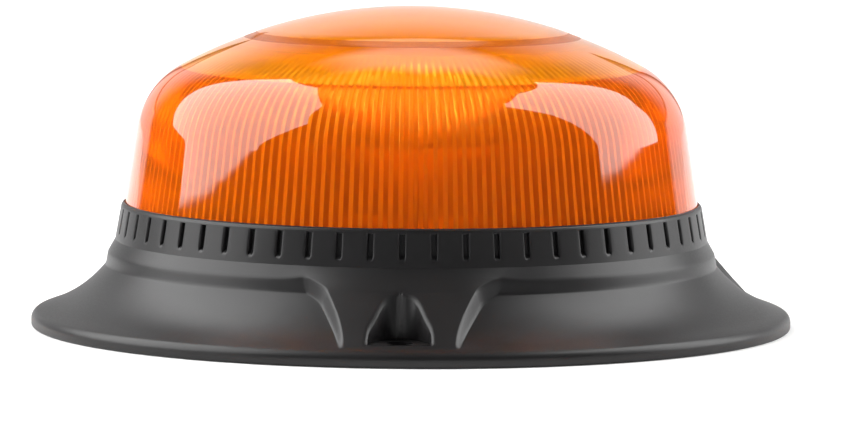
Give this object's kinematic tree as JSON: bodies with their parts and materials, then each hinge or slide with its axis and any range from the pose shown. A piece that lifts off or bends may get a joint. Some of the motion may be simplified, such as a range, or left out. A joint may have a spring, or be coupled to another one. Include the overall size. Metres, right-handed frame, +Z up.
{
  "type": "rotating beacon",
  "caption": "Low amber warning beacon: prismed dome over a geared rotating mirror round an LED tower, on a black flanged base with slotted collar and open bolt wells.",
  "frame": {"origin": "centre of the underside: the plane the beacon's gasket stands on, on the axis of rotation", "axes": "+Z up along the axis of rotation; -Y towards the first bolt well, where the mirror faces at rest; +X to the right seen from -Y"},
  "size_m": [0.16, 0.16, 0.0673],
  "materials": {
    "base_black": "satin moulded black",
    "gasket_rubber": "matt black",
    "lens_amber": "clear polished amber",
    "seal_silicone": "grey silicone",
    "screw_steel": "zinc plated",
    "board_green": "green solder mask",
    "capacitor_sleeve": "dark sleeve",
    "choke_ferrite": "black",
    "terminal_plastic": "green moulded",
    "motor_steel": "bright",
    "pin_brass": "bright",
    "plate_steel": "zinc plated sheet",
    "turned_aluminium": "turned",
    "washer_white": "white, slippery",
    "gear_white": "natural white acetal",
    "turntable_black": "black acetal",
    "bush_bronze": "sintered bronze",
    "mirror_metallised": "vacuum-metallised mirror",
    "led_phosphor": "phosphor yellow",
    "lead_insulation": "red insulation"
  },
  "bodies": {
    "housing": {"base_housing": "base_black", "base_gasket": "gasket_rubber", "cable_grommet": "gasket_rubber", "dome_lens": "lens_amber", "lens_seal": "seal_silicone", "lens_screws": "screw_steel", "circuit_board": "board_green", "board_screws": "screw_steel", "filter_capacitor": "capacitor_sleeve", "choke": "choke_ferrite", "terminal_block": "terminal_plastic", "driver_chips": "choke_ferrite", "motor_can": "motor_steel", "motor_end_cap": "choke_ferrite", "motor_terminals": "pin_brass", "motor_screws": "screw_steel", "chassis_plate": "plate_steel", "chassis_screws": "screw_steel", "pillar": "turned_aluminium", "pillar_screws": "screw_steel", "thrust_washer": "washer_white", "retaining_clip": "motor_steel", "idler_pin": "motor_steel", "led_core": "turned_aluminium", "led_emitters": "led_phosphor", "led_cap": "turned_aluminium", "led_leads": "lead_insulation"},
    "mirror_turntable": {"turntable": "turntable_black", "turntable_bush": "bush_bronze", "reflector": "mirror_metallised", "reflector_screws": "screw_steel", "reflector_lid": "turntable_black", "lid_screws": "screw_steel"},
    "idler": {"idler_gear": "gear_white"},
    "motor_rotor": {"motor_shaft": "motor_steel", "motor_pinion": "pin_brass"}
  },
  "joints": [
    {"name": "mirror_spin", "type": "hinge", "parent": "housing", "child": "mirror_turntable", "pos_m": [0, 0, 0.028], "axis": [0, 0, 1], "continuous": true},
    {"name": "idler_spin", "type": "hinge", "parent": "housing", "child": "idler", "pos_m": [0, 0.02884, 0.0245], "axis": [0, 0, 1], "continuous": true},
    {"name": "motor_spin", "type": "hinge", "parent": "housing", "child": "motor_rotor", "pos_m": [-0.0147, 0.03419, 0.0175], "axis": [0, 0, 1], "continuous": true}
  ],
  "couplings": [
    {"joint": "idler_spin", "follows": "mirror_spin", "ratio": -7},
    {"joint": "motor_spin", "follows": "mirror_spin", "ratio": 23.333}
  ]
}
